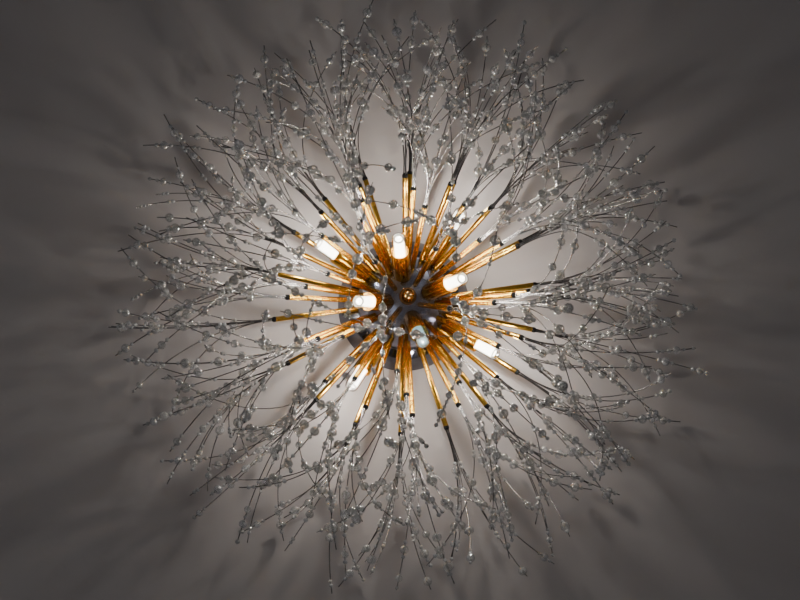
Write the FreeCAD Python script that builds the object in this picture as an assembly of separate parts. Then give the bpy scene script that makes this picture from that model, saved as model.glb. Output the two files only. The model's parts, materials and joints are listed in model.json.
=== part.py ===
import FreeCAD, Part
import math, os

# Ceiling light in the shape of a dandelion clock.  A round canopy hides the ceiling
# bracket, a half-round hub hangs under it, and 58 gilt tubes stand out of the hub in five
# rings.  A black plug closes each tube and holds a spray of stiff wires with glass beads.
# Eight capsule lamps stand in long cups between the tubes.  Millimetres, +Z up, the ceiling
# is z = 0 and the light hangs below it on the axis of its threaded rod.

# ---- ceiling bracket
BRACKET_LENGTH = 118.0
BRACKET_WIDTH = 22.0
BRACKET_THICK = 3.0
SLOT_HOLE_R = 2.4
SLOT_SPACING = 84.0
SLOT_LENGTH = 22.0
EARTH_SCREW_Y = -22.0
EARTH_HEAD_R = 3.6
EARTH_HEAD_H = 2.6

# ---- canopy, a pan with a sloping side
CANOPY_RIM_R = 71.0
CANOPY_FACE_R = 59.0
CANOPY_DEPTH = 18.0
CANOPY_WALL = 1.2

# ---- threaded rod, its lock nut, and the finial that holds canopy and hub up
ROD_R = 4.0
ROD_SIDES = 12
ROD_CLEARANCE = 0.3
NUT_ACROSS_R = 7.5
NUT_H = 5.0
WASHER_R = 9.0
WASHER_THICK = 1.5
FINIAL_R = 6.3
FINIAL_NECK_R = 5.6
FINIAL_H = 11.0
FINIAL_DOME = 4.5
FINIAL_SHOULDER_R = 5.0
FINIAL_SHOULDER = 1.4
FINIAL_TIP_R = 1.9
FINIAL_SIDES = 20
FINIAL_END_WALL = 3.5
ROD_END_GAP = 1.0

# ---- hub, a half ball with a short straight skirt
HUB_R = 50.0
HUB_SKIRT = 8.0
HUB_WALL = 1.5
HUB_CROWN_FLAT_R = 8.0
HUB_INSIDE_SIDES = 16
HUB_INSIDE_BANDS = 4
LEAD_HOLE_R = 3.2
DRILL_REACH = 4.0

# ---- tubes: rings of (letter, how many, tilt from straight down, turn from the meridian)
MERIDIAN = 32.0
RINGS = (
    ("a", 4, 18.0, 0.0),
    ("b", 8, 37.0, 22.5),
    ("c", 12, 48.5, 0.0),
    ("d", 16, 62.0, 11.25),
    ("e", 18, 88.0, 0.0),
)
TUBE_R = 2.8
TUBE_LENGTH = 87.0
TUBE_SIDES = 6
PLUG_LENGTH = 4.5
SEAT_GAP = 0.3

# ---- lamps: rings of (name, tilt, turn from the meridian), four lamps in each
LAMP_RINGS = (("inner", 28.0, 45.0), ("outer", 73.0, 0.0))
LAMPS_PER_RING = 4
CUP_R = 9.4
CUP_WALL = 0.9
CUP_LENGTH = 41.5
CUP_SIDES = 10
HOLDER_R = 7.4
HOLDER_LENGTH = 20.0
PIN_SPACING = 9.0
PIN_WIDTH = 1.4
PIN_DEPTH = 0.9
PIN_LENGTH = 12.0
PIN_CLEARANCE = 0.3
BASE_R = 6.6
BASE_LENGTH = 9.0
GLASS_R = 7.1
GLASS_LENGTH = 37.0
GLASS_DOME = 6.0
DOME_BEND = 1.8
DOME_BEND_R = 5.3
DOME_TIP_R = 2.1
GLASS_SIDES = 8

# ---- wire sprays; a wire bows away from its spoke, in two runs that meet at a bend
WIRES = 5
WIRE_R = 0.65
BUNDLE_R = 1.5
ROOT_LENGTH_MIN = 60.0
ROOT_LENGTH_MAX = 84.0
ROOT_LEAN_SHARE = 0.28
FAN_LEAN_MIN = 16.0
FAN_LEAN_MAX = 61.0
FAN_LENGTH_MIN = 80.0
FAN_LENGTH_MAX = 104.0
BEND, TIP = 1, 2
BEAD_CORNERS = (TIP, BEND, TIP, BEND, None)
BEAD_R = 5.4
WIRE_GAP = 0.4
ROOT_GAP = 0.1
CEILING_GAP = 4.0
TWIST_STEP = 5.0
TWIST_TRIES = 120
TRIES_PER_LEAN = 12
# steps that spread the leans and the lengths evenly from wire to wire
GOLDEN = 0.618034
SILVER = 0.414214
BRONZE = 0.302776

# ---- wiring inside
TERMINAL_Y = 26.0
TERMINAL_LENGTH = 46.0
TERMINAL_WIDTH = 12.0
TERMINAL_H = 9.0
CAP_X = 18.0
CAP_R = 4.6
CAP_H = 12.0
CAP_DROP = 8.0
LEAD_R = 0.9
LEAD_ENTRY = 6.0
LEAD_PITCH = 1.9
LEAD_CLEARANCE = 1.0

# ---- places worked out from the sizes above
ROD_BORE_R = (ROD_R + ROD_CLEARANCE) / math.cos(math.pi / ROD_SIDES)
HUB_Z = -(CANOPY_DEPTH + HUB_SKIRT)
SEAT_R = HUB_R + SEAT_GAP
TUBE_END_R = SEAT_R + TUBE_LENGTH
PLUG_END_R = TUBE_END_R + PLUG_LENGTH
CUP_END_R = SEAT_R + CUP_LENGTH
HOLDER_START_R = SEAT_R + CUP_WALL
HOLDER_END_R = HOLDER_START_R + HOLDER_LENGTH
LAMP_START_R = HOLDER_END_R + SEAT_GAP
BASE_END_R = LAMP_START_R + BASE_LENGTH
CAP_TOP_Z = -(CANOPY_DEPTH + CAP_DROP)
CAP_BOTTOM_Z = CAP_TOP_Z - CAP_H
HUB_BOTTOM_Z = HUB_Z - HUB_R
WASHER_BOTTOM_Z = HUB_BOTTOM_Z - WASHER_THICK
FINIAL_TOP_Z = WASHER_BOTTOM_Z - SEAT_GAP
FINIAL_LOW_Z = FINIAL_TOP_Z - FINIAL_H
BORE_END_Z = FINIAL_LOW_Z + FINIAL_END_WALL

V = FreeCAD.Vector
UP = V(0, 0, 1)
SKEW = V(0.3, 0.5, 0.8)
MITRED = 1
SMALL = 1e-6


def save(name, shape):
    shape.exportStep(os.path.join("parts", name + ".step"))


# ---- shapes of revolution about the fixture's axis

def turned(profile):
    """A solid of revolution from (radius, z) corners; a corner may be an arc's (through, end)."""
    edges = []
    start = V(profile[0][0], 0, profile[0][1])
    first = start
    for corner in profile[1:] + profile[:1]:
        if isinstance(corner[0], tuple):
            through, end = (V(r, 0, z) for r, z in corner)
            edges.append(Part.Arc(start, through, end).toShape())
        else:
            end = V(corner[0], 0, corner[1])
            edges.append(Part.LineSegment(start, end).toShape())
        start = end
    face = Part.Face(Part.Wire(edges))
    return face.revolve(V(0, 0, 0), UP, 360)


def upright(radius, low, high, x=0.0, y=0.0):
    return Part.makeCylinder(radius, high - low, V(x, y, low), UP)


def upright_prism(radius, low, high, sides, x=0.0, y=0.0):
    angles = [math.tau * i / sides for i in range(sides)]
    corners = [V(x + radius * math.cos(a), y + radius * math.sin(a), low) for a in angles]
    return Part.Face(Part.makePolygon(corners + corners[:1])).extrude(UP * (high - low))


# ---- spokes: everything that stands out of the hub is laid along one

class Spoke:
    """A line out of the hub's centre; places on it are (distance out, sideways, upwards)."""

    def __init__(self, tilt, azimuth):
        t, a = math.radians(tilt), math.radians(azimuth)
        self.out = V(math.sin(t) * math.cos(a), math.sin(t) * math.sin(a), -math.cos(t))
        self.side = V(-math.sin(a), math.cos(a), 0)
        self.up = self.side.cross(self.out) * -1

    def at(self, out, side=0.0, up=0.0):
        return V(0, 0, HUB_Z) + self.out * out + self.side * side + self.up * up

    def headroom(self, out, size):
        """How far up a piece of this size may stand from the spoke and clear the ceiling."""
        if self.up.z < SMALL:
            return math.inf
        return (-CEILING_GAP - size - HUB_Z - self.out.z * out) / self.up.z


def ring_spokes(count, tilt, turn):
    return [Spoke(tilt, MERIDIAN + turn + 360.0 * i / count) for i in range(count)]


def stack(spoke, sections, sides, turn=0.0):
    """A flat-faced solid through polygons square to a spoke: (out, radius, side, up) each."""
    rings = []
    for out, radius, side, up in sections:
        angles = [math.radians(turn) + math.tau * i / sides for i in range(sides)]
        rings.append([spoke.at(out, side + radius * math.cos(a), up + radius * math.sin(a))
                      for a in angles])
    loops = [rings[0], rings[-1]]
    for low, high in zip(rings, rings[1:]):
        for i in range(sides):
            j = (i + 1) % sides
            loops.append([low[i], low[j], high[j], high[i]])
    faces = [Part.Face(Part.makePolygon(loop + loop[:1])) for loop in loops]
    shell = Part.Shell(faces)
    shell.sewShape()
    solid = Part.Solid(shell)
    if solid.Volume < 0:
        solid.reverse()
    return solid


def prism(spoke, radius, start, end, sides, side=0.0, turn=0.0):
    return stack(spoke, [(start, radius, side, 0.0), (end, radius, side, 0.0)], sides, turn)


def blade(spoke, width, depth, start, end, side):
    """A rectangular bar along a spoke, as a lamp pin is."""
    corners = [(side - width / 2, -depth / 2), (side + width / 2, -depth / 2),
               (side + width / 2, depth / 2), (side - width / 2, depth / 2)]
    points = [spoke.at(start, s, u) for s, u in corners]
    face = Part.Face(Part.makePolygon(points + points[:1]))
    return face.extrude(spoke.out * (end - start))


# ---- ceiling side

def make_bracket():
    bar = Part.makeBox(BRACKET_WIDTH, BRACKET_LENGTH, BRACKET_THICK,
                       V(-BRACKET_WIDTH / 2, -BRACKET_LENGTH / 2, -BRACKET_THICK))
    holes = [upright(ROD_R + ROD_CLEARANCE, -BRACKET_THICK, 0)]
    straight = SLOT_LENGTH - 2 * SLOT_HOLE_R
    for y in (-SLOT_SPACING / 2, SLOT_SPACING / 2):
        for end in (-straight / 2, straight / 2):
            holes.append(upright(SLOT_HOLE_R, -BRACKET_THICK, 0, 0, y + end))
        holes.append(Part.makeBox(2 * SLOT_HOLE_R, straight, BRACKET_THICK,
                                  V(-SLOT_HOLE_R, y - straight / 2, -BRACKET_THICK)))
    return bar.cut(holes).removeSplitter()


def make_earth_screw():
    low = -BRACKET_THICK - EARTH_HEAD_H
    return upright_prism(EARTH_HEAD_R, low, -BRACKET_THICK, 6, 0, EARTH_SCREW_Y)


def make_lock_nut():
    low = -BRACKET_THICK - NUT_H
    body = upright_prism(NUT_ACROSS_R, low, -BRACKET_THICK, 6)
    return body.cut(upright(ROD_R + ROD_CLEARANCE, low, -BRACKET_THICK))


def make_canopy():
    slope = (CANOPY_RIM_R - CANOPY_FACE_R) / CANOPY_DEPTH
    side_wall = CANOPY_WALL * math.hypot(1, slope)
    hole = ROD_R + ROD_CLEARANCE
    inside_z = CANOPY_WALL - CANOPY_DEPTH
    inside_r = CANOPY_FACE_R - side_wall + slope * CANOPY_WALL
    pan = turned([(CANOPY_RIM_R, 0), (CANOPY_FACE_R, -CANOPY_DEPTH), (hole, -CANOPY_DEPTH),
                  (hole, inside_z), (inside_r, inside_z), (CANOPY_RIM_R - side_wall, 0)])
    lead_holes = [upright_prism(LEAD_R + LEAD_CLEARANCE, -CANOPY_DEPTH, inside_z, 6, x, TERMINAL_Y)
                  for x in (-CAP_X, CAP_X)]
    return pan.cut(lead_holes)


# ---- hub and what holds it up

def make_hub(lamp_spokes):
    """A spun half ball; its inside, which nobody sees, has flat faces."""
    half = math.sqrt(0.5)
    dome = turned([(HUB_R, -CANOPY_DEPTH), (HUB_R, HUB_Z),
                   ((HUB_R * half, HUB_Z - HUB_R * half), (0, HUB_Z - HUB_R)),
                   (0, -CANOPY_DEPTH)])
    inner = HUB_R - HUB_WALL
    bands = [math.radians(90.0 * i / HUB_INSIDE_BANDS) for i in range(HUB_INSIDE_BANDS)]
    sections = [(-HUB_SKIRT, inner, 0, 0)]
    sections += [(inner * math.sin(b), inner * math.cos(b), 0, 0) for b in bands]
    sections += [(inner, HUB_CROWN_FLAT_R, 0, 0)]
    cavity = stack(Spoke(0, 0), sections, HUB_INSIDE_SIDES)
    drills = [prism(s, LEAD_HOLE_R, inner - DRILL_REACH, HUB_R + DRILL_REACH, 6)
              for s in lamp_spokes]
    rod_hole = upright(ROD_R + ROD_CLEARANCE, HUB_BOTTOM_Z, HUB_Z)
    return dome.cut([cavity, rod_hole] + drills)


def make_rod():
    return upright_prism(ROD_R, BORE_END_Z + ROD_END_GAP, 0, ROD_SIDES)


def make_washer():
    spoke = Spoke(0, 0)
    start, end = HUB_R, HUB_R + WASHER_THICK
    ring = prism(spoke, WASHER_R, start, end, ROD_SIDES)
    return ring.cut(prism(spoke, ROD_BORE_R, start, end, ROD_SIDES))


def make_finial():
    """A cap nut: a waisted knob with a chamfered dome and a blind bore for the rod."""
    spoke = Spoke(0, 0)
    top, low = HUB_Z - FINIAL_TOP_Z, HUB_Z - FINIAL_LOW_Z
    belly = low - FINIAL_DOME
    knob = stack(spoke, [(top, FINIAL_R, 0, 0), ((top + belly) / 2, FINIAL_NECK_R, 0, 0),
                         (belly, FINIAL_R, 0, 0),
                         (low - FINIAL_SHOULDER, FINIAL_SHOULDER_R, 0, 0),
                         (low, FINIAL_TIP_R, 0, 0)], FINIAL_SIDES)
    return knob.cut(prism(spoke, ROD_BORE_R, top, HUB_Z - BORE_END_Z, ROD_SIDES))


# ---- wiring inside the canopy and hub

def make_terminal_block():
    low = -BRACKET_THICK - TERMINAL_H
    return Part.makeBox(TERMINAL_LENGTH, TERMINAL_WIDTH, TERMINAL_H,
                        V(-TERMINAL_LENGTH / 2, TERMINAL_Y - TERMINAL_WIDTH / 2, low))


def lead(points, radius=LEAD_R):
    """A lead of square section along straight runs with mitred corners."""
    path = Part.makePolygon(points)
    along = (points[1] - points[0]).normalize()
    side = along.cross(SKEW).normalize()
    other = along.cross(side)
    corners = [points[0] + side * (radius * math.cos(a)) + other * (radius * math.sin(a))
               for a in (math.tau * i / 4 for i in range(4))]
    profile = Part.makePolygon(corners + corners[:1])
    return path.makePipeShell([profile], True, False, MITRED)


def make_splice_caps():
    return Part.makeCompound([upright_prism(CAP_R, CAP_BOTTOM_Z, CAP_TOP_Z, 8, x, TERMINAL_Y)
                              for x in (-CAP_X, CAP_X)])


def make_supply_leads():
    top = -BRACKET_THICK - TERMINAL_H
    return Part.makeCompound([lead([V(x, TERMINAL_Y, CAP_TOP_Z), V(x, TERMINAL_Y, top)])
                              for x in (-CAP_X, CAP_X)])


def make_lamp_leads(lamps_by_ring):
    """Each lead leaves its holder through cup and hub, and turns up into the nearer cap."""
    leads = []
    for spokes, shift in zip(lamps_by_ring, (-LEAD_PITCH, LEAD_PITCH)):
        for sign in (-1, 1):
            near = [s for s in spokes if s.out.x * sign > 0]
            near.sort(key=lambda s: s.out.y)
            for spoke, back in zip(near, (-LEAD_PITCH, LEAD_PITCH)):
                x = sign * (CAP_X + shift)
                y = TERMINAL_Y + back
                leads.append(lead([spoke.at(HOLDER_START_R), spoke.at(HUB_R - LEAD_ENTRY),
                                   V(x, y, CAP_BOTTOM_Z - LEAD_ENTRY),
                                   V(x, y, CAP_BOTTOM_Z)]))
    return Part.makeCompound(leads)


# ---- lamps

def make_cup(spoke):
    inner_r = CUP_R - CUP_WALL / math.cos(math.pi / CUP_SIDES)
    body = prism(spoke, CUP_R, SEAT_R, CUP_END_R, CUP_SIDES)
    bore = prism(spoke, inner_r, HOLDER_START_R, CUP_END_R, CUP_SIDES)
    return body.cut([bore, prism(spoke, LEAD_HOLE_R, SEAT_R, HOLDER_START_R, 6)])


def make_holder(spoke):
    body = prism(spoke, HOLDER_R, HOLDER_START_R, HOLDER_END_R, CUP_SIDES)
    width = PIN_WIDTH + 2 * PIN_CLEARANCE
    depth = PIN_DEPTH + 2 * PIN_CLEARANCE
    start = LAMP_START_R - PIN_LENGTH - PIN_CLEARANCE
    slots = [blade(spoke, width, depth, start, HOLDER_END_R, side)
             for side in (-PIN_SPACING / 2, PIN_SPACING / 2)]
    return body.cut(slots)


def make_lamp_base(spoke):
    pins = [blade(spoke, PIN_WIDTH, PIN_DEPTH, LAMP_START_R - PIN_LENGTH, LAMP_START_R, side)
            for side in (-PIN_SPACING / 2, PIN_SPACING / 2)]
    return prism(spoke, BASE_R, LAMP_START_R, BASE_END_R, 8).fuse(pins)


def make_lamp_glass(spoke):
    end = BASE_END_R + GLASS_LENGTH
    shoulder = end - GLASS_DOME
    return stack(spoke, [(BASE_END_R, GLASS_R, 0, 0), (shoulder, GLASS_R, 0, 0),
                         (end - DOME_BEND, DOME_BEND_R, 0, 0),
                         (end, DOME_TIP_R, 0, 0)], GLASS_SIDES)


# ---- sprays

def segment_gap(p, q, r, s):
    """The least distance between the straight runs p-q and r-s."""
    d1, d2, w = q - p, s - r, p - r
    a, e, f = d1.dot(d1), d2.dot(d2), d2.dot(w)
    b, c = d1.dot(d2), d1.dot(w)
    room = a * e - b * b
    along = min(max((b * f - c * e) / room, 0.0), 1.0) if room > SMALL else 0.0
    across = (b * along + f) / e
    if not 0.0 <= across <= 1.0:
        across = min(max(across, 0.0), 1.0)
        along = min(max((b * across - c) / a, 0.0), 1.0)
    return (p + d1 * along - r - d2 * across).Length


class Wire:
    """One wire of a spray: gathered with the others at its root, then leaning away from them."""

    def __init__(self, spoke, slot, twist, number):
        self.spoke = spoke
        self.bead_corner = BEAD_CORNERS[slot]
        angle = math.radians(360.0 * slot / WIRES + twist)
        root = ROOT_LENGTH_MIN + (ROOT_LENGTH_MAX - ROOT_LENGTH_MIN) * (number * BRONZE % 1.0)
        fan = FAN_LENGTH_MIN + (FAN_LENGTH_MAX - FAN_LENGTH_MIN) * (number * SILVER % 1.0)
        lean = FAN_LEAN_MIN + (FAN_LEAN_MAX - FAN_LEAN_MIN) * (number * GOLDEN % 1.0)
        out, off = PLUG_END_R, BUNDLE_R
        self.places = [(out, off * math.cos(angle), off * math.sin(angle))]
        for corner, length, run_lean in ((BEND, root, lean * ROOT_LEAN_SHARE), (TIP, fan, lean)):
            out += length * math.cos(math.radians(run_lean))
            off += length * math.sin(math.radians(run_lean))
            size = BEAD_R if corner == self.bead_corner else WIRE_R
            up = min(off * math.sin(angle), spoke.headroom(out, size))
            self.places.append((out, off * math.cos(angle), up))
        self.points = [spoke.at(*place) for place in self.places]
        self.runs = (self.points[:TIP], self.points[BEND:])
        self.middle = (self.points[0] + self.points[TIP]) * 0.5
        self.reach = (self.points[TIP] - self.points[0]).Length / 2 + 2 * BEAD_R
        if self.bead_corner:
            first, _, last = self.bead_places()
            self.bead = (spoke.at(*first), spoke.at(*last))

    def beside(self, corner, distance):
        """The place on the wire this far past a corner, or before it if the distance is negative."""
        step = 1 if distance > 0 else -1
        length = (self.points[corner + step] - self.points[corner]).Length
        share = abs(distance) / length
        return tuple(a + (b - a) * share
                     for a, b in zip(self.places[corner], self.places[corner + step]))

    def bead_places(self):
        """Where the bead starts, where it is widest and where it ends."""
        if self.bead_corner == BEND:
            return self.beside(BEND, -BEAD_R), self.places[BEND], self.beside(BEND, BEAD_R)
        return self.beside(TIP, -2 * BEAD_R), self.beside(TIP, -BEAD_R), self.places[TIP]

    def clears(self, other):
        if (self.middle - other.middle).Length > self.reach + other.reach:
            return True
        gap = ROOT_GAP if self.spoke is other.spoke else WIRE_GAP
        for run in self.runs:
            for other_run in other.runs:
                if segment_gap(*run, *other_run) < 2 * WIRE_R + gap:
                    return False
        for one, two in ((self, other), (other, self)):
            if one.bead_corner:
                for run in two.runs:
                    if segment_gap(*one.bead, *run) < BEAD_R + WIRE_R + WIRE_GAP:
                        return False
        if self.bead_corner and other.bead_corner:
            return segment_gap(*self.bead, *other.bead) > 2 * BEAD_R + WIRE_GAP
        return True

    def solid(self):
        start, bend, tip = [(out, WIRE_R, side, up) for out, side, up in self.places]
        sections = [start, bend, tip]
        if self.bead_corner:
            bead = [(out, radius, side, up) for (out, side, up), radius
                    in zip(self.bead_places(), (WIRE_R, BEAD_R, WIRE_R))]
            sections = [start] + bead + [tip] if self.bead_corner == BEND else [start, bend] + bead
        return stack(self.spoke, sections, 3)


def lay_sprays(spokes_by_ring):
    """Every wire takes the first twist that keeps it clear of the wires already laid."""
    laid = []
    sprays = {}
    for ring in reversed(sorted(spokes_by_ring)):
        sprays[ring] = []
        for spoke in spokes_by_ring[ring]:
            for slot in range(WIRES):
                number = len(laid)
                for attempt in range(TWIST_TRIES):
                    swing = TWIST_STEP * ((attempt + 1) // 2) * (1 if attempt % 2 else -1)
                    wire = Wire(spoke, slot, swing, number + attempt // TRIES_PER_LEAN)
                    if all(wire.clears(other) for other in laid):
                        break
                else:
                    print("crowded wire", ring, slot)
                laid.append(wire)
                sprays[ring].append(wire)
    return sprays


def main():
    os.makedirs("parts", exist_ok=True)
    lamps_by_ring = []
    for name, tilt, turn in LAMP_RINGS:
        spokes = ring_spokes(LAMPS_PER_RING, tilt, turn)
        save("lamp_holders_" + name, Part.makeCompound([make_holder(s) for s in spokes]))
        lamps_by_ring.append(spokes)
    lamps = [spoke for spokes in lamps_by_ring for spoke in spokes]
    for number, spoke in enumerate(lamps, 1):
        save("socket_cup_%d" % number, make_cup(spoke))
        save("lamp_%d_base" % number, make_lamp_base(spoke))
        save("lamp_%d_glass" % number, make_lamp_glass(spoke))

    save("ceiling_bracket", make_bracket())
    save("earth_screw", make_earth_screw())
    save("rod_lock_nut", make_lock_nut())
    save("centre_rod", make_rod())
    save("canopy", make_canopy())
    save("hub", make_hub(lamps))
    save("finial_washer", make_washer())
    save("finial", make_finial())
    save("terminal_block", make_terminal_block())
    save("splice_caps", make_splice_caps())
    save("supply_leads", make_supply_leads())
    save("lamp_leads", make_lamp_leads(lamps_by_ring))

    spokes_by_ring = {letter: ring_spokes(count, tilt, turn)
                      for letter, count, tilt, turn in RINGS}
    sprays = lay_sprays(spokes_by_ring)
    for letter, spokes in spokes_by_ring.items():
        tubes = [prism(s, TUBE_R, SEAT_R, TUBE_END_R, TUBE_SIDES) for s in spokes]
        plugs = [prism(s, TUBE_R, TUBE_END_R, PLUG_END_R, TUBE_SIDES) for s in spokes]
        save("tubes_ring_" + letter, Part.makeCompound(tubes))
        save("tube_plugs_ring_" + letter, Part.makeCompound(plugs))
        save("beaded_sprays_ring_" + letter,
             Part.makeCompound([wire.solid() for wire in sprays[letter]]))


main()
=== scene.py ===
import bpy
import json
import math
import random
from mathutils import Matrix, Vector


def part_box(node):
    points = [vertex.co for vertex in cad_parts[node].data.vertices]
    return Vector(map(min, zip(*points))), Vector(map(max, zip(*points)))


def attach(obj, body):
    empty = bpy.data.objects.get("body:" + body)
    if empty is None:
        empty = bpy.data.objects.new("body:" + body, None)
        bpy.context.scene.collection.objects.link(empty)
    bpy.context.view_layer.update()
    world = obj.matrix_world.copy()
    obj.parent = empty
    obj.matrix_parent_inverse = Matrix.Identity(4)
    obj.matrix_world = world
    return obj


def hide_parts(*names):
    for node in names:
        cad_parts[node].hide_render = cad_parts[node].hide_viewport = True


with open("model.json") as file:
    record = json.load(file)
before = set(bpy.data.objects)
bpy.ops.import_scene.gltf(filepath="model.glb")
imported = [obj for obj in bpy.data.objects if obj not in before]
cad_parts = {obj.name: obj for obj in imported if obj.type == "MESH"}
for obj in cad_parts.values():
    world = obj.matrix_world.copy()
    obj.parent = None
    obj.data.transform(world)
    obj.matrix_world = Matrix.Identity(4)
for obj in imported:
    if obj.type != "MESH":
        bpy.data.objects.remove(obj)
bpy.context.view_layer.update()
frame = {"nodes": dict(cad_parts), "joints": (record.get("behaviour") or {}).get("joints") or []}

# ---- sizes read from the frame, in metres
MM = 0.001
hub_low, hub_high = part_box("hub")
canopy_low, canopy_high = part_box("canopy")
finial_low, finial_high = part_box("finial")
washer_low, washer_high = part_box("finial_washer")
HUB_R = hub_high.x
HUB_CENTRE = Vector((0, 0, hub_low.z + HUB_R))
CANOPY_RIM_R = canopy_high.x
CANOPY_DEPTH = -canopy_low.z

# ---- canopy, hub and finial
CANOPY_FACE_R = 59 * MM
CANOPY_WALL = 1.2 * MM
CANOPY_EDGE = 0.5 * MM
HUB_WALL = 1.5 * MM
HUB_EDGE = 0.4 * MM
HUB_EDGE_ANGLE = 50.0
ROD_HOLE_R = 4.3 * MM
KNOB_EDGE = 0.25 * MM
WASHER_EDGE = 0.4 * MM
# the knob's outline from its tip up, as shares of its radius and of its height
KNOB_OUTLINE = ((0.34, 0.02), (0.72, 0.12), (0.94, 0.28), (1.0, 0.42), (0.90, 0.52), (0.86, 0.62),
                (0.86, 0.78), (1.0, 0.86))
KNOB_BORE_END = 0.32

# ---- tubes and plugs: END_R and START_R are distances from the hub's centre
SEAT_R = HUB_R + 0.3 * MM
TUBE_R = 2.8 * MM
TUBE_WALL = 0.35 * MM
TUBE_END_R = SEAT_R + 87 * MM
TUBE_EDGE = 0.12 * MM
PLUG_LIP = 0.15 * MM
PLUG_GAP = 0.05 * MM
PLUG_END_R = TUBE_END_R + 4.5 * MM
PLUG_TAPER = 1.6 * MM
PLUG_TIP_R = 0.6 * TUBE_R
PLUG_EDGE = 0.25 * MM

# ---- cups and lamps
CUP_R = 9.4 * MM
CUP_WALL = 0.9 * MM
CUP_END_R = SEAT_R + 41.5 * MM
CUP_EDGE = 0.3 * MM
LEAD_HOLE_R = 3.2 * MM
LAMP_START_R = SEAT_R + 21.2 * MM
GLASS_START_R = LAMP_START_R + 9 * MM
GLASS_END_R = GLASS_START_R + 37 * MM
GLASS_R = 7.0 * MM
GLASS_WALL = 0.7 * MM
GLASS_DOME = 6 * MM
GLASS_SMOOTH = 60.0
GLOW_R = 5.1 * MM
GLOW_GAP = 0.5 * MM
GLOW_EDGE = 0.3 * MM
NOSE_R = 3.1 * MM
# A plain plate over each lamp's lit body makes the painted shadow ring round its nose.
SHADOW_RING_DEPTH = 6.5 * MM
SHADOW_RING_THICKNESS = 0.8 * MM
SHADOW_RING_GAP = 0.05 * MM
SHADOW_RING_BORE_R = NOSE_R + 0.1 * MM
SHADOW_RING_R = GLOW_R + 0.15 * MM
SHADOW_RING_EDGE = 0.15 * MM
LAMPS = range(1, 9)
LAMP_BODIES = ["lamp_%d" % number for number in LAMPS]
DIM_LAMP = 1

# ---- sides of the round pieces
ROUND_SIDES = 128
KNOB_SIDES = 64
CUP_SIDES = 48
GLASS_SIDES = 40
GLOW_SIDES = 32
TUBE_SIDES = 20
PLUG_SIDES = 16
DOME_STEPS = 8

# ---- modelling limits: corners closer than MERGE are one, and a lathe's axis is a ring of POLE_R
MERGE = 0.01 * MM
POLE_R = 0.001 * MM

# ---- rings of tubes: (letter, how many, tilt from straight down, turn from the meridian)
MERIDIAN = 32.0
RINGS = (
    ("a", 4, 18.0, 0.0),
    ("b", 8, 37.0, 22.5),
    ("c", 12, 48.5, 0.0),
    ("d", 16, 62.0, 11.25),
    ("e", 18, 88.0, 0.0),
)

# ---- wires of the sprays: the frame's own, with companions beside some
WIRE_R = 0.5 * MM
SECTION_STEP = 0.2 * MM
# a bare wire of the frame has three sections, and a bead on its bend makes the third the widest
BARE_SECTIONS = 3
BEND_BEAD_SECTION = 2
ROOT_DEPTH = 3 * MM
# how far the control points lie from the bend, as a share of the way to root or tip
HALF_RUN = 0.53
# companions a spray, how far each leans to the next wire, and its length, both as shares
COMPANIONS = 2
COMPANION_SHARE = (0.12, 0.4)
COMPANION_REACH = (0.8, 1.02)
CEILING_GAP = 4 * MM
CURVE_STEPS = 12
DRAW_SEED = 11

# ---- glass beads threaded on the wires: FACES gives sides round the bore and bands along it
BEAD_R = 4.9 * MM
BEAD_FACES = (10, 5)
SEED_R = 2.3 * MM
SEED_FACES = (8, 3)
BORE_R = 0.75 * MM
BEAD_FLATNESS = 0.94
BEAD_SMOOTH = 80.0
BEAD_SIZES = (0.76, 1.08)
BEAD_TOUCH = 0.9
BEAD_CLEARANCE = 1.2
BARE_FOOT = 40 * MM
BARE_TIP = (7 * MM, 16 * MM)
CLUSTER_SPACING = (24 * MM, 52 * MM)
TRIPLE_SHARE = 0.5
SINGLE_SHARE = 0.24
TIP_SEED_SHARE = 0.3

# ---- stage and lights, in metres and watts
CEILING_SIZE = 6.0
CEILING_LIFT = 0.8 * MM
FLOOR_SIZE = 12.0
FLOOR_DROP = 2.3
SKY_STRENGTH = 0.055
# (name, place, size, power)
AREA_LIGHTS = (("key", (-1.1, 0.9, -1.6), 0.8, 1.6), ("fill", (1.3, -0.8, -1.5), 1.2, 0.9))
LAMP_POWER = 0.22
LAMP_LIGHT = (1.0, 0.95, 0.87)
LAMP_LIGHT_R = GLASS_END_R + 2 * GLOW_R

# ---- the photograph's view
CAMERA_TILT = 7.93
CAMERA_AZIMUTH = 113.1
CAMERA_DISTANCE = 1.57
FOCAL_PX = 1483.0
FRAME_WIDTH_PX = 800
FRAME_CENTRE_PX = (400.0, 300.0)
HUB_CENTRE_PX = (405.1, 302.5)
SENSOR_WIDTH_MM = 36.0


# ---- modelling helpers

def deselect():
    bpy.ops.object.select_all(action="DESELECT")


def only(piece):
    deselect()
    piece.select_set(True)
    bpy.context.view_layer.objects.active = piece


def lathe(name, profile, sides):
    """Turned work: a ring is extruded and resized through (radius, height) corners."""
    radius, height = max(profile[0][0], POLE_R), profile[0][1]
    deselect()
    bpy.ops.mesh.primitive_circle_add(vertices=sides, radius=radius, location=(0, 0, height))
    piece = bpy.context.active_object
    piece.name = name
    bpy.ops.object.mode_set(mode="EDIT")
    for corner_radius, corner_height in profile[1:]:
        rise = {"value": (0, 0, corner_height - height)}
        bpy.ops.mesh.extrude_edges_move(TRANSFORM_OT_translate=rise)
        size = max(corner_radius, POLE_R) / radius
        bpy.ops.transform.resize(value=(size, size, 1))
        radius, height = max(corner_radius, POLE_R), corner_height
    bpy.ops.mesh.select_all(action="SELECT")
    bpy.ops.mesh.remove_doubles(threshold=MERGE)
    bpy.ops.mesh.normals_make_consistent(inside=False)
    bpy.ops.object.mode_set(mode="OBJECT")
    bpy.ops.object.transform_apply(location=True, rotation=True, scale=True)
    return piece


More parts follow.
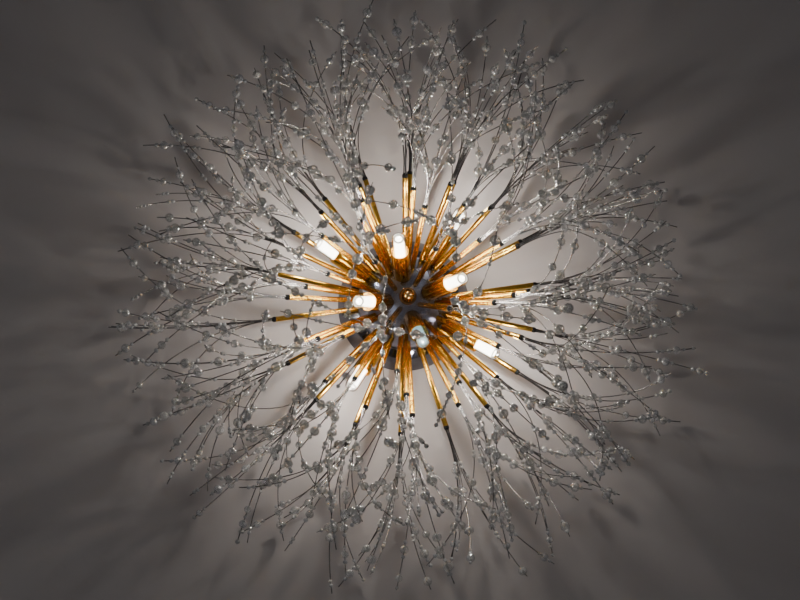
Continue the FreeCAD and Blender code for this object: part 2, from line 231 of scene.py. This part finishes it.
def thicken(piece, thickness):
    """Gives a skin a wall, inwards from the skin."""
    wall = piece.modifiers.new("wall", "SOLIDIFY")
    wall.thickness = thickness
    wall.offset = -1
    only(piece)
    bpy.ops.object.modifier_apply(modifier=wall.name)


def soften(piece, width=0.0, segments=2, angle=30.0):
    """Rolls the sharp edges over and shades the rest smooth."""
    only(piece)
    if width:
        bevel = piece.modifiers.new("edges", "BEVEL")
        bevel.width = width
        bevel.segments = segments
        bevel.limit_method = "ANGLE"
        bevel.angle_limit = math.radians(angle)
        bpy.ops.object.modifier_apply(modifier=bevel.name)
    bpy.ops.object.shade_smooth_by_angle(angle=math.radians(angle))
    return piece


def copies(template, places, name):
    """Copies of a template, each with its own mesh, joined into one piece."""
    deselect()
    made = []
    for place in places:
        copy = template.copy()
        copy.data = template.data.copy()
        copy.data.transform(place)
        bpy.context.scene.collection.objects.link(copy)
        copy.select_set(True)
        made.append(copy)
    bpy.context.view_layer.objects.active = made[0]
    if len(made) > 1:
        bpy.ops.object.join()
    made[0].name = name
    return made[0]


def discard(*templates):
    for template in templates:
        bpy.data.objects.remove(template)


def spoke(out):
    """Takes local Z out along a line from the hub's centre, with local Y as near up as can be."""
    out = Vector(out).normalized()
    side = Vector((-out.y, out.x, 0)).normalized()
    place = Matrix((side, out.cross(side), out)).transposed().to_4x4()
    place.translation = HUB_CENTRE
    return place


def downward(tilt, azimuth):
    """The direction at a tilt from straight down, turned by an azimuth, both in degrees."""
    tilt, azimuth = math.radians(tilt), math.radians(azimuth)
    return Vector((math.sin(tilt) * math.cos(azimuth), math.sin(tilt) * math.sin(azimuth),
                   -math.cos(tilt)))


def ring_spokes(count, tilt, turn):
    return [spoke(downward(tilt, MERIDIAN + turn + 360.0 * i / count)) for i in range(count)]


def dress(piece, material, body="fixture", stands_for=()):
    """Gives a finished piece its material, its body and the nodes that it stands for."""
    piece.data.materials.clear()
    piece.data.materials.append(material)
    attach(piece, body)
    if stands_for:
        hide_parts(*stands_for)
    return piece


# ---- material helpers

def put(tree, kind, inputs=None, **settings):
    """Adds a node, sets it up, and joins or fills its inputs."""
    node = tree.nodes.new("ShaderNode" + kind)
    for key, value in settings.items():
        setattr(node, key, value)
    for key, value in (inputs or {}).items():
        if isinstance(value, bpy.types.NodeSocket):
            tree.links.new(value, node.inputs[key])
        else:
            node.inputs[key].default_value = value
    return node


def colour(red, green, blue):
    return (red, green, blue, 1.0)


def group_with(name, inputs, outputs):
    tree = bpy.data.node_groups.new(name, "ShaderNodeTree")
    for side, sockets in (("INPUT", inputs), ("OUTPUT", outputs)):
        for label, kind in sockets:
            tree.interface.new_socket(label, in_out=side, socket_type="NodeSocket" + kind)
    return tree, tree.nodes.new("NodeGroupInput"), tree.nodes.new("NodeGroupOutput")


def make_patina_group():
    """Cloudy dulling of a polished surface, with fine handling marks."""
    tree, given, result = group_with(
        "patina",
        [("Scale", "Float"), ("Amount", "Float"), ("Clean", "Color"), ("Dull", "Color"),
         ("Smooth", "Float"), ("Rough", "Float")],
        [("Colour", "Color"), ("Roughness", "Float"), ("Relief", "Float")])
    place = put(tree, "TexCoord").outputs["Object"]
    clouds = put(tree, "TexNoise", {"Vector": place, "Scale": given.outputs["Scale"],
                                    "Detail": 5.0, "Roughness": 0.62})
    mask = put(tree, "MapRange", {"Value": clouds.outputs["Fac"], "From Min": 0.42,
                                  "From Max": 0.72, "To Max": given.outputs["Amount"]})
    finer = put(tree, "Math", {0: given.outputs["Scale"], 1: 9.0}, operation="MULTIPLY")
    marks = put(tree, "TexNoise", {"Vector": place, "Scale": finer.outputs[0], "Detail": 3.0})
    tint = put(tree, "Mix", {0: mask.outputs[0], 6: given.outputs["Clean"],
                             7: given.outputs["Dull"]}, data_type="RGBA")
    gloss = put(tree, "MapRange", {"Value": mask.outputs[0], "To Min": given.outputs["Smooth"],
                                   "To Max": given.outputs["Rough"]})
    tree.links.new(tint.outputs[2], result.inputs["Colour"])
    tree.links.new(gloss.outputs[0], result.inputs["Roughness"])
    tree.links.new(marks.outputs["Fac"], result.inputs["Relief"])
    return tree


def make_grain_group():
    """The fine even texture of moulded and fired surfaces."""
    tree, given, result = group_with(
        "grain", [("Scale", "Float"), ("Base", "Color"), ("Shade", "Color")],
        [("Colour", "Color"), ("Relief", "Float")])
    place = put(tree, "TexCoord").outputs["Object"]
    specks = put(tree, "TexNoise", {"Vector": place, "Scale": given.outputs["Scale"],
                                    "Detail": 4.0, "Roughness": 0.7})
    tint = put(tree, "Mix", {0: specks.outputs["Fac"], 6: given.outputs["Base"],
                             7: given.outputs["Shade"]}, data_type="RGBA")
    tree.links.new(tint.outputs[2], result.inputs["Colour"])
    tree.links.new(specks.outputs["Fac"], result.inputs["Relief"])
    return tree


PATINA = make_patina_group()
GRAIN = make_grain_group()


def blank_material(name):
    material = bpy.data.materials.new(name)
    material.use_nodes = True
    return material, material.node_tree, material.node_tree.nodes["Principled BSDF"]


def relief(tree, shader, height, distance, strength):
    bump = put(tree, "Bump", {"Height": height, "Distance": distance, "Strength": strength})
    tree.links.new(bump.outputs["Normal"], shader.inputs["Normal"])


def drifting_gloss(tree, shader, scale, detail, smooth, rough):
    """Roughness that drifts between two values over a glass surface."""
    place = put(tree, "TexCoord").outputs["Object"]
    drift = put(tree, "TexNoise", {"Vector": place, "Scale": scale, "Detail": detail})
    gloss = put(tree, "MapRange", {"Value": drift.outputs["Fac"], "To Min": smooth, "To Max": rough})
    tree.links.new(gloss.outputs[0], shader.inputs["Roughness"])


def tint_between(tree, factor, low, high):
    tint = put(tree, "ValToRGB", {"Fac": factor})
    tint.color_ramp.elements[0].color = low
    tint.color_ramp.elements[1].color = high
    return tint.outputs["Color"]


# ---- materials

def polished(name, clean, dull, smooth, rough, scale, amount, bump=0.03):
    """A polished metal with patina."""
    material, tree, shader = blank_material(name)
    finish = put(tree, "Group", node_tree=PATINA)
    for label, value in (("Scale", scale), ("Amount", amount), ("Clean", clean),
                         ("Dull", dull), ("Smooth", smooth), ("Rough", rough)):
        finish.inputs[label].default_value = value
    shader.inputs["Metallic"].default_value = 1.0
    tree.links.new(finish.outputs["Colour"], shader.inputs["Base Color"])
    tree.links.new(finish.outputs["Roughness"], shader.inputs["Roughness"])
    relief(tree, shader, finish.outputs["Relief"], 0.05 * MM, bump)
    return material


def moulded(name, base, shade, roughness, scale, bump=0.2, gloss=0.5):
    """A plastic, ceramic or painted surface with fine grain."""
    material, tree, shader = blank_material(name)
    finish = put(tree, "Group", node_tree=GRAIN)
    for label, value in (("Scale", scale), ("Base", base), ("Shade", shade)):
        finish.inputs[label].default_value = value
    shader.inputs["Roughness"].default_value = roughness
    shader.inputs["Specular IOR Level"].default_value = gloss
    tree.links.new(finish.outputs["Colour"], shader.inputs["Base Color"])
    relief(tree, shader, finish.outputs["Relief"], 0.08 * MM, bump)
    return material


def gilt_material():
    """Polished gilt, darkened and warmed to copper towards the hub as a painted reflection and shade.
    """
    material = polished("gilt", colour(0.78, 0.46, 0.07), colour(0.50, 0.27, 0.04),
                        smooth=0.17, rough=0.33, scale=60.0, amount=0.8)
    tree = material.node_tree
    shader = tree.nodes["Principled BSDF"]
    place = put(tree, "TexCoord").outputs["Object"]
    # Painted reflection and shade: the base colour is darkened and warmed towards the hub, where warm
    # reflections and shade fall among the tube roots.
    reach = put(tree, "VectorMath", {0: place, 1: HUB_CENTRE}, operation="DISTANCE")
    near = put(tree, "MapRange", {"Value": reach.outputs["Value"], "From Min": HUB_R,
                                  "From Max": TUBE_END_R, "To Min": 1.0, "To Max": 0.0})
    finish = next(n for n in tree.nodes if n.type == "GROUP")
    tint = put(tree, "Mix", {0: near.outputs[0], 6: finish.outputs["Colour"],
                             7: colour(0.92, 0.82, 0.70)}, data_type="RGBA", blend_type="MULTIPLY")
    tree.links.new(tint.outputs[2], shader.inputs["Base Color"])
    return material


def bead_glass(name, clear):
    """Drawn glass, clear to a share and milky for the rest, with a fire-polished skin."""
    material, tree, shader = blank_material(name)
    island = put(tree, "NewGeometry").outputs["Random Per Island"]
    tint = tint_between(tree, island, colour(0.96, 0.97, 1.0), colour(1.0, 0.99, 0.95))
    tree.links.new(tint, shader.inputs["Base Color"])
    shader.inputs["Transmission Weight"].default_value = clear
    shader.inputs["IOR"].default_value = 1.6
    shader.inputs["Coat Weight"].default_value = 1.0
    shader.inputs["Coat Roughness"].default_value = 0.12
    shader.inputs["Coat IOR"].default_value = 2.1
    drifting_gloss(tree, shader, 260.0, 1.0, 0.0, 0.01)
    return material


def lamp_glass(name, tint):
    """The thin clear cover of a lamp, a little hazy in places."""
    material, tree, shader = blank_material(name)
    drifting_gloss(tree, shader, 120.0, 2.0, 0.01, 0.08)
    shader.inputs["Base Color"].default_value = tint
    shader.inputs["Transmission Weight"].default_value = 1.0
    shader.inputs["IOR"].default_value = 1.45
    return material


def glow(name, light, strength):
    """The lit body of a lamp, a little dimmer in places."""
    material, tree, shader = blank_material(name)
    place = put(tree, "TexCoord").outputs["Object"]
    chips = put(tree, "TexNoise", {"Vector": place, "Scale": 220.0, "Detail": 2.0})
    dimmer = tuple(0.86 * c for c in light[:3]) + (1.0,)
    tint = tint_between(tree, chips.outputs["Fac"], dimmer, light)
    shader.inputs["Base Color"].default_value = colour(0.9, 0.9, 0.85)
    shader.inputs["Emission Strength"].default_value = strength
    tree.links.new(tint, shader.inputs["Emission Color"])
    return material


GILT = gilt_material()
SMOKE = polished("smoke_chrome", colour(0.17, 0.17, 0.20), colour(0.10, 0.09, 0.09),
                 smooth=0.06, rough=0.18, scale=24.0, amount=0.8)
# The hub's copy of the smoke chrome: its satin roughness is real, and its lighter blue-grey colour is
# painted hazy light.
SATIN_SMOKE_PAINTED_HAZE = polished("satin_smoke_painted_haze", colour(0.36, 0.39, 0.51), colour(0.20, 0.20, 0.25),
                       smooth=0.22, rough=0.40, scale=40.0, amount=0.9)
BRONZE = polished("bronze", colour(0.52, 0.30, 0.12), colour(0.30, 0.17, 0.08),
                  smooth=0.14, rough=0.30, scale=150.0, amount=0.8)
ZINC = polished("zinc", colour(0.62, 0.63, 0.65), colour(0.46, 0.47, 0.50),
                smooth=0.30, rough=0.48, scale=90.0, amount=1.0, bump=0.1)
GREEN = moulded("earth_green", colour(0.05, 0.30, 0.10), colour(0.08, 0.38, 0.14),
                roughness=0.4, scale=400.0)
BLACK = moulded("black_plastic", colour(0.004, 0.004, 0.004), colour(0.01, 0.01, 0.01),
                roughness=0.5, scale=900.0, gloss=0.12)
CERAMIC = moulded("ceramic", colour(0.86, 0.84, 0.79), colour(0.74, 0.71, 0.66),
                  roughness=0.62, scale=700.0)
LAMP_BASE = moulded("lamp_base", colour(0.90, 0.90, 0.88), colour(0.80, 0.80, 0.78),
                    roughness=0.3, scale=500.0)
NYLON = moulded("terminal_white", colour(0.85, 0.84, 0.79), colour(0.76, 0.75, 0.70),
                roughness=0.38, scale=450.0)
SLEEVE = moulded("lead_insulation", colour(0.72, 0.72, 0.70), colour(0.60, 0.60, 0.58),
                 roughness=0.5, scale=800.0)
WIRE = polished("spray_wire", colour(0.28, 0.27, 0.27), colour(0.09, 0.08, 0.08),
                smooth=0.18, rough=0.34, scale=90.0, amount=0.9)
BEAD = bead_glass("bead_glass", clear=0.70)
SEED = bead_glass("seed_glass", clear=0.50)
CLEAR = lamp_glass("lamp_glass", colour(1.0, 1.0, 1.0))
COOL = lamp_glass("lamp_glass_cool", colour(0.86, 0.95, 1.0))
LIT = glow("lamp_glow", colour(1.0, 0.95, 0.84), strength=70.0)
LIT_COOL = glow("lamp_glow_cool", colour(0.42, 0.80, 0.92), strength=1.0)


# ---- canopy, hub and finial

def make_canopy():
    inside = CANOPY_RIM_R - CANOPY_WALL
    floor = CANOPY_WALL - CANOPY_DEPTH
    pan = lathe("canopy_pan", [
        (CANOPY_RIM_R, 0), (CANOPY_FACE_R, -CANOPY_DEPTH), (ROD_HOLE_R, -CANOPY_DEPTH),
        (ROD_HOLE_R, floor), (CANOPY_FACE_R - CANOPY_WALL, floor), (inside, 0),
        (CANOPY_RIM_R, 0)], ROUND_SIDES)
    soften(pan, CANOPY_EDGE, segments=3)
    return dress(pan, SMOKE, stands_for=["canopy"])


def make_hub():
    deselect()
    bpy.ops.mesh.primitive_uv_sphere_add(segments=ROUND_SIDES, ring_count=ROUND_SIDES // 2,
                                         radius=HUB_R, location=HUB_CENTRE)
    dome = bpy.context.active_object
    dome.name = "hub_dome"
    bpy.ops.object.mode_set(mode="EDIT")
    bpy.ops.mesh.bisect(plane_co=HUB_CENTRE, plane_no=(0, 0, 1), clear_outer=True)
    bpy.ops.mesh.extrude_edges_move(
        TRANSFORM_OT_translate={"value": (0, 0, hub_high.z - HUB_CENTRE.z)})
    bpy.ops.object.mode_set(mode="OBJECT")
    bpy.ops.object.transform_apply(location=True, rotation=True, scale=True)
    thicken(dome, HUB_WALL)
    soften(dome, HUB_EDGE, angle=HUB_EDGE_ANGLE)
    # The hub's lighter colour is painted hazy light.
    return dress(dome, SATIN_SMOKE_PAINTED_HAZE, stands_for=["hub"])


def make_finial():
    low, high = finial_low.z, finial_high.z
    radius = finial_high.x
    tall = high - low
    outline = [(across * radius, low + up * tall) for across, up in KNOB_OUTLINE]
    bore_end = low + KNOB_BORE_END * tall
    profile = [(0, low), *outline, (radius, high), (ROD_HOLE_R, high), (ROD_HOLE_R, bore_end),
               (0, bore_end)]
    knob = lathe("finial_knob", profile[::-1], KNOB_SIDES)
    soften(knob, KNOB_EDGE)
    return dress(knob, BRONZE, "finial", ["finial"])


def make_washer():
    radius = washer_high.x
    ring = lathe("finial_seat", [
        (ROD_HOLE_R, washer_low.z), (radius, washer_low.z), (radius, washer_high.z),
        (ROD_HOLE_R, washer_high.z), (ROD_HOLE_R, washer_low.z)], KNOB_SIDES)
    soften(ring, WASHER_EDGE, segments=3)
    return dress(ring, BRONZE, stands_for=["finial_washer"])


# ---- tubes, cups and lamps

def tube_template():
    bore = TUBE_R - TUBE_WALL
    tube = lathe("tube", [(bore, SEAT_R), (TUBE_R, SEAT_R), (TUBE_R, TUBE_END_R),
                          (bore, TUBE_END_R), (bore, SEAT_R)], TUBE_SIDES)
    return soften(tube, TUBE_EDGE, segments=1)


def plug_template():
    lip = TUBE_R + PLUG_LIP
    start = TUBE_END_R + PLUG_GAP
    profile = [(0, start), (lip, start), (lip, PLUG_END_R - PLUG_TAPER), (PLUG_TIP_R, PLUG_END_R),
               (0, PLUG_END_R)]
    return soften(lathe("plug", profile[::-1], PLUG_SIDES), PLUG_EDGE)


def cup_template():
    bore = CUP_R - CUP_WALL
    floor = SEAT_R + CUP_WALL
    cup = lathe("cup", [
        (LEAD_HOLE_R, SEAT_R), (CUP_R, SEAT_R), (CUP_R, CUP_END_R), (bore, CUP_END_R),
        (bore, floor), (LEAD_HOLE_R, floor), (LEAD_HOLE_R, SEAT_R)], CUP_SIDES)
    return soften(cup, CUP_EDGE, segments=3)


def capsule_template():
    """A lamp's cover: a straight wall with a rounded end."""
    corners = [(GLASS_R, GLASS_START_R)]
    for i in range(DOME_STEPS + 1):
        bend = math.radians(90.0 * i / DOME_STEPS)
        corners.append((GLASS_R * math.cos(bend),
                        GLASS_END_R - GLASS_DOME + GLASS_DOME * math.sin(bend)))
    capsule = lathe("capsule", corners, GLASS_SIDES)
    thicken(capsule, GLASS_WALL)
    return soften(capsule, angle=GLASS_SMOOTH)


def glow_template():
    """The lit body inside a capsule, and the short nose that shows through the plate of painted
    shadow round it.
    """
    start = GLASS_START_R + GLOW_GAP
    end = GLASS_END_R - SHADOW_RING_DEPTH
    nose_end = end + 2 * SHADOW_RING_THICKNESS
    emitter = lathe("emitter", [
        (0, start), (GLOW_R, start), (GLOW_R, end), (NOSE_R, end), (NOSE_R, nose_end),
        (0, nose_end)], GLOW_SIDES)
    return soften(emitter, GLOW_EDGE)


def shadow_ring_template():
    """The plain plate that closes the lit body round its nose, put there as a painted shadow ring."""
    low = GLASS_END_R - SHADOW_RING_DEPTH + SHADOW_RING_GAP
    high = low + SHADOW_RING_THICKNESS
    shadow_ring = lathe("shadow_ring", [
        (SHADOW_RING_BORE_R, low), (SHADOW_RING_R, low), (SHADOW_RING_R, high), (SHADOW_RING_BORE_R, high),
        (SHADOW_RING_BORE_R, low)], GLOW_SIDES)
    return soften(shadow_ring, SHADOW_RING_EDGE)


def make_tubes_and_plugs():
    tube, plug = tube_template(), plug_template()
    for letter, count, tilt, turn in RINGS:
        places = ring_spokes(count, tilt, turn)
        dress(copies(tube, places, "gilt_tubes_" + letter), GILT,
              stands_for=["tubes_ring_" + letter])
        dress(copies(plug, places, "end_plugs_" + letter), BLACK,
              stands_for=["tube_plugs_ring_" + letter])
    discard(tube, plug)


def make_lamps():
    cup, capsule, emitter = cup_template(), capsule_template(), glow_template()
    shadow_ring = shadow_ring_template()
    axes = {joint["child"]: joint["axis"] for joint in frame["joints"]}
    for number in LAMPS:
        body = "lamp_%d" % number
        place = [spoke(axes[body])]
        dim = number == DIM_LAMP
        dress(copies(cup, place, "gilt_cup_%d" % number), GILT,
              stands_for=["socket_cup_%d" % number])
        dress(copies(capsule, place, "capsule_%d" % number), COOL if dim else CLEAR, body,
              ["lamp_%d_glass" % number])
        dress(copies(emitter, place, "emitter_%d" % number), LIT_COOL if dim else LIT, body)
        # The plate round the nose paints its shadow ring.
        dress(copies(shadow_ring, place, "collar_%d" % number), CERAMIC, body)
    discard(cup, capsule, emitter, shadow_ring)


# ---- wires of the sprays

def islands(mesh):
    """The corners of each separate solid in a frame mesh, whose triangles are loose."""
    corner_keys = [tuple(round(c / MERGE) for c in v.co) for v in mesh.vertices]
    corners = dict(zip(corner_keys, (v.co.copy() for v in mesh.vertices)))
    leader = {key: key for key in corners}

    def find(key):
        while leader[key] != key:
            leader[key] = leader[leader[key]]
            key = leader[key]
        return key

    for face in mesh.polygons:
        first, *others = (corner_keys[i] for i in face.vertices)
        for other in others:
            leader[find(other)] = find(first)
    solids = {}
    for key, corner in corners.items():
        solids.setdefault(find(key), []).append(corner)
    return [solids[key] for key in sorted(solids)]


def frame_wires(letter, places):
    """The sprays of one ring as the frame has them: for each spoke its wires, as root, bend,
    tip and the middle of the bead, if it has one."""
    ends = [place @ Vector((0, 0, PLUG_END_R)) for place in places]
    sprays = [[] for place in places]
    for corners in islands(frame["nodes"]["beaded_sprays_ring_" + letter].data):
        index = min(range(len(ends)), key=lambda i: min((ends[i] - c).length for c in corners))
        inward = places[index].inverted()
        sections = {}
        for corner in corners:
            sections.setdefault(round((inward @ corner).z / SECTION_STEP), []).append(corner)
        middles, sizes = [], []
        for level in sorted(sections):
            middle = sum(sections[level], Vector()) / len(sections[level])
            middles.append(middle)
            sizes.append((sections[level][0] - middle).length)
        widest = sizes.index(max(sizes))
        beaded = len(middles) > BARE_SECTIONS
        bend = middles[widest] if beaded and widest == BEND_BEAD_SECTION else middles[1]
        sprays[index].append((middles[0], bend, middles[-1], middles[widest] if beaded else None))
    return sprays


def under_ceiling(point):
    return Vector((point.x, point.y, min(point.z, -CEILING_GAP)))


def bowed(root, bend, tip, bead, draw):
    """Control points of a wire that arcs evenly through its bend, with a bare end past a tip bead."""
    heading = (tip - root).normalized()
    before = bend - heading * (bend - root).length * HALF_RUN
    after = bend + heading * (tip - bend).length * HALF_RUN
    end = tip
    if bead and (tip - bead).length < 2 * BEAD_R:
        end = tip + (tip - after).normalized() * draw.uniform(*BARE_TIP)
    start = root + (root - before).normalized() * ROOT_DEPTH
    return [start, under_ceiling(before), under_ceiling(after), under_ceiling(end)]


def companion(wire, neighbour, draw):
    """A wire that runs beside another, a little towards the next one of its spray."""
    share = draw.uniform(*COMPANION_SHARE)
    reach = draw.uniform(*COMPANION_REACH)
    root = (wire[0] + neighbour[0]) * 0.5
    bend, tip = (wire[i].lerp(neighbour[i], share) for i in (1, 2))
    return root, bend, root + (tip - root) * reach, None


def ring_routes(letter, places, draw):
    """Every wire of a ring, with companions beside some: (control points, bead middle) each."""
    routes = []
    for spray in frame_wires(letter, places):
        extra = [companion(spray[i], spray[(i + 1) % len(spray)], draw)
                 for i in draw.sample(range(len(spray)), COMPANIONS)]
        routes += [(bowed(*wire, draw), wire[3]) for wire in spray + extra]
    return routes


def wire_curve(name, routes):
    curve = bpy.data.curves.new(name, "CURVE")
    curve.dimensions = "3D"
    curve.resolution_u = CURVE_STEPS
    for route in routes:
        spline = curve.splines.new("NURBS")
        spline.points.add(len(route) - 1)
        for knot, point in zip(spline.points, route):
            knot.co = (*point, 1.0)
        spline.order_u = 3
        spline.use_endpoint_u = True
    piece = bpy.data.objects.new(name, curve)
    bpy.context.scene.collection.objects.link(piece)
    return piece


def lines_of(piece):
    """The points that each wire of a curve with no bevel follows."""
    bpy.context.view_layer.update()
    evaluated = piece.evaluated_get(bpy.context.evaluated_depsgraph_get())
    mesh = bpy.data.meshes.new_from_object(evaluated)
    points = [v.co.copy() for v in mesh.vertices]
    bpy.data.meshes.remove(mesh)
    each = len(points) // len(piece.data.splines)
    return [points[i:i + each] for i in range(0, len(points), each)]


def round_wire(wires):
    """Gives a curve of wires its round section and makes it a mesh."""
    wires.data.bevel_depth = WIRE_R
    wires.data.bevel_resolution = 1
    wires.data.use_fill_caps = True
    only(wires)
    bpy.ops.object.convert(target="MESH")


# ---- glass beads

def bead_template(name, radius, sides, bands):
    """A glass bead bored along local Z for its wire, with its ends a little flattened."""
    lip = math.asin(BORE_R / radius)
    profile = []
    for i in range(bands + 1):
        turn = lip + (math.pi - 2 * lip) * i / bands
        profile.append((radius * math.sin(turn), -BEAD_FLATNESS * radius * math.cos(turn)))
    bead = lathe(name, profile + profile[:1], sides)
    return soften(bead, angle=BEAD_SMOOTH)


def length_of(line):
    return sum((b - a).length for a, b in zip(line, line[1:]))


def along(line, distance):
    """The place at a distance along a line, with local Z along the wire."""
    for start, end in zip(line, line[1:]):
        step = (end - start).length
        if distance <= step:
            break
        distance -= step
    heading = (end - start).normalized()
    point = start + heading * min(distance, step)
    return Matrix.Translation(point) @ heading.to_track_quat("Z", "Y").to_matrix().to_4x4()


def cluster_spots(line, bead, draw):
    """Distances along a wire of its clusters from the tip inward, and the one at the frame's bead."""
    spots = []
    spot = length_of(line) - draw.uniform(*BARE_TIP)
    while spot > BARE_FOOT:
        spots.append(spot)
        spot -= draw.uniform(*CLUSTER_SPACING)
    held = None
    if bead:
        nearest = min(range(1, len(line)), key=lambda i: (line[i] - bead).length)
        held = length_of(line[:nearest + 1])
        closest = min(range(len(spots)), key=lambda i: abs(spots[i] - held))
        spots[closest] = held
    return spots, held


def bead_clusters(line, bead, draw):
    """Distances along a wire of its large beads and of its seed beads."""
    spots, held = cluster_spots(line, bead, draw)
    large, small = [], []
    beside = BEAD_R + SEED_R
    for spot in spots:
        kind = draw.random()
        if kind < TRIPLE_SHARE or spot == held:
            large.append(spot)
            small += [spot - beside, spot + beside]
        elif kind < TRIPLE_SHARE + SINGLE_SHARE:
            large.append(spot)
        else:
            small += [spot - SEED_R, spot + SEED_R]
    total = length_of(line)
    if draw.random() < TIP_SEED_SHARE:
        small.append(total - SEED_R)
    return large, [spot for spot in small if spot < total]


def crowded(centre, radius, cell, taken):
    near = (-1, 0, 1)
    for dx in near:
        for dy in near:
            for dz in near:
                for other, size in taken.get((cell[0] + dx, cell[1] + dy, cell[2] + dz), ()):
                    if (other - centre).length < BEAD_TOUCH * (radius + size):
                        return True
    return False


def free_places(line, spots, radius, draw, taken):
    """Bead places along a wire, leaving out any too near the ceiling or another bead."""
    places = []
    for spot in spots:
        place = along(line, spot) @ Matrix.Scale(draw.uniform(*BEAD_SIZES), 4)
        centre = place.translation
        cell = tuple(int(c // (2 * BEAD_R)) for c in centre)
        if centre.z < -radius * BEAD_CLEARANCE and not crowded(centre, radius, cell, taken):
            places.append(place)
            taken.setdefault(cell, []).append((centre, radius))
    return places


def make_sprays():
    draw = random.Random(DRAW_SEED)
    bead = bead_template("bead", BEAD_R, *BEAD_FACES)
    seed = bead_template("seed", SEED_R, *SEED_FACES)
    taken = {}
    for letter, count, tilt, turn in RINGS:
        routes = ring_routes(letter, ring_spokes(count, tilt, turn), draw)
        wires = wire_curve("spray_wires_" + letter, [route for route, middle in routes])
        beads, seeds = [], []
        for line, (route, middle) in zip(lines_of(wires), routes):
            large, small = bead_clusters(line, middle, draw)
            beads += free_places(line, large, BEAD_R, draw, taken)
            seeds += free_places(line, small, SEED_R, draw, taken)
        round_wire(wires)
        dress(wires, WIRE, stands_for=["beaded_sprays_ring_" + letter])
        dress(copies(bead, beads, "glass_beads_" + letter), BEAD)
        dress(copies(seed, seeds, "seed_beads_" + letter), SEED)
    discard(bead, seed)


# ---- hidden pieces keep their frame shapes

def dress_hidden_nodes():
    finishes = {
        "ceiling_bracket": ZINC, "rod_lock_nut": ZINC, "centre_rod": ZINC,
        "earth_screw": GREEN, "terminal_block": NYLON, "splice_caps": NYLON,
        "supply_leads": SLEEVE, "lamp_leads": SLEEVE,
        "lamp_holders_inner": CERAMIC, "lamp_holders_outer": CERAMIC,
    }
    for number in LAMPS:
        finishes["lamp_%d_base" % number] = LAMP_BASE
    for node, material in finishes.items():
        data = frame["nodes"][node].data
        data.materials.clear()
        data.materials.append(material)


# ---- stage, light and camera

def ceiling_paint():
    """Matt paint on the room's side, and nothing from above, where it would hide the light."""
    material, tree, shader = blank_material("ceiling_paint")
    shader.inputs["Base Color"].default_value = colour(0.60, 0.555, 0.55)
    shader.inputs["Roughness"].default_value = 0.85
    clear = put(tree, "BsdfTransparent")
    side = put(tree, "NewGeometry").outputs["Backfacing"]
    mix = put(tree, "MixShader", {0: side, 1: shader.outputs[0], 2: clear.outputs[0]})
    output = next(n for n in tree.nodes if n.type == "OUTPUT_MATERIAL")
    tree.links.new(mix.outputs[0], output.inputs["Surface"])
    return material


def make_stage():
    deselect()
    bpy.ops.mesh.primitive_plane_add(size=CEILING_SIZE, location=(0, 0, CEILING_LIFT))
    ceiling = bpy.context.active_object
    ceiling.name = "ceiling"
    bpy.ops.object.mode_set(mode="EDIT")
    bpy.ops.mesh.flip_normals()
    bpy.ops.object.mode_set(mode="OBJECT")
    ceiling.data.materials.append(ceiling_paint())

    deselect()
    bpy.ops.mesh.primitive_plane_add(size=FLOOR_SIZE, location=(0, 0, -FLOOR_DROP))
    floor = bpy.context.active_object
    floor.name = "floor"
    floor.data.materials.append(moulded(
        "pale_floor", colour(0.66, 0.65, 0.63), colour(0.60, 0.59, 0.57),
        roughness=0.7, scale=3.0, bump=0.0))


def hang_light(light, place):
    holder = bpy.data.objects.new(light.name, light)
    holder.location = place
    bpy.context.scene.collection.objects.link(holder)
    return holder


def make_sky():
    world = bpy.data.worlds.new("studio")
    bpy.context.scene.world = world
    world.use_nodes = True
    sky = world.node_tree.nodes["Background"]
    sky.inputs["Color"].default_value = colour(0.80, 0.86, 1.0)
    sky.inputs["Strength"].default_value = SKY_STRENGTH


def make_area_lights():
    for name, place, size, power in AREA_LIGHTS:
        light = bpy.data.lights.new(name, "AREA")
        light.size = size
        light.energy = power
        holder = hang_light(light, place)
        holder.rotation_mode = "QUATERNION"
        holder.rotation_quaternion = (HUB_CENTRE - Vector(place)).to_track_quat("-Z", "Y")


def make_lamp_lights():
    """The glass round the lit bodies holds their light back, so a soft light by each tip gives it."""
    for joint in frame["joints"]:
        if joint["child"] in LAMP_BODIES:
            light = bpy.data.lights.new(joint["child"] + "_light", "POINT")
            light.energy = LAMP_POWER
            light.color = LAMP_LIGHT
            light.shadow_soft_size = GLOW_R
            holder = hang_light(light, spoke(joint["axis"]) @ Vector((0, 0, LAMP_LIGHT_R)))
            holder.visible_camera = False


def picture_axes(ahead):
    """The picture's right and up for a camera that looks along a line, with -Y to the top."""
    right = ahead.cross(Vector((0, -1, 0))).normalized()
    return right, right.cross(ahead)


def make_camera():
    back = downward(CAMERA_TILT, CAMERA_AZIMUTH)
    data = bpy.data.cameras.new("camera")
    data.sensor_width = SENSOR_WIDTH_MM
    data.lens = FOCAL_PX * SENSOR_WIDTH_MM / FRAME_WIDTH_PX
    camera = bpy.data.objects.new("camera", data)
    camera.location = HUB_CENTRE + back * CAMERA_DISTANCE
    right, above = picture_axes(-back)
    step = CAMERA_DISTANCE / FOCAL_PX
    target = (HUB_CENTRE + right * (FRAME_CENTRE_PX[0] - HUB_CENTRE_PX[0]) * step
              - above * (FRAME_CENTRE_PX[1] - HUB_CENTRE_PX[1]) * step)
    ahead = (target - camera.location).normalized()
    right, above = picture_axes(ahead)
    camera.rotation_mode = "QUATERNION"
    camera.rotation_quaternion = Matrix((right, above, -ahead)).transposed().to_quaternion()
    bpy.context.scene.collection.objects.link(camera)
    bpy.context.scene.camera = camera


make_camera()
make_stage()
make_sky()
make_area_lights()
make_lamp_lights()
make_canopy()
make_hub()
make_finial()
make_washer()
make_tubes_and_plugs()
make_lamps()
make_sprays()
dress_hidden_nodes()
